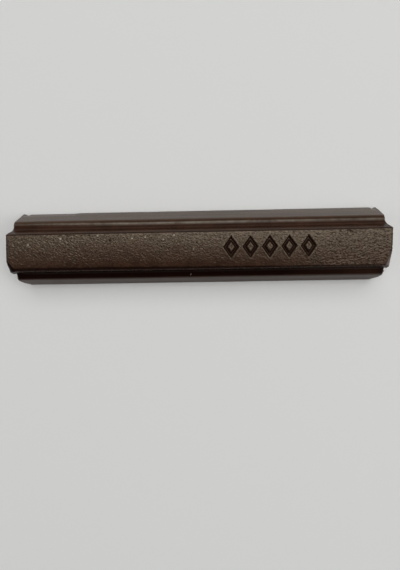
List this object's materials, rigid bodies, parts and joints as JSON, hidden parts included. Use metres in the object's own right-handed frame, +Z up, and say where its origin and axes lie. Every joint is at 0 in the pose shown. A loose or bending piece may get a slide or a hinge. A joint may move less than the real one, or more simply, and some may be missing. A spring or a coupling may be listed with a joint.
{
  "type": "furniture repair wax stick",
  "caption": "Bar of dark brown hard wax for filling dents in wooden furniture, with a raised land along its top, a ledge on each side and leaning flanks.",
  "frame": {"origin": "middle of the flat base, on the surface that the bar lies on", "axes": "+X along the bar, towards the end that is nearer the stamped row, +Y across the bar, +Z up from the base to the land"},
  "size_m": [0.0809, 0.0164, 0.0102],
  "materials": {
    "wax": "dark brown hard wax, satin on the flanks and ledges, finely pebbled on the land"
  },
  "bodies": {
    "root": {"wax_bar": "wax", "cut_burr": "wax", "ledge_crumb": "wax"}
  },
  "joints": []
}
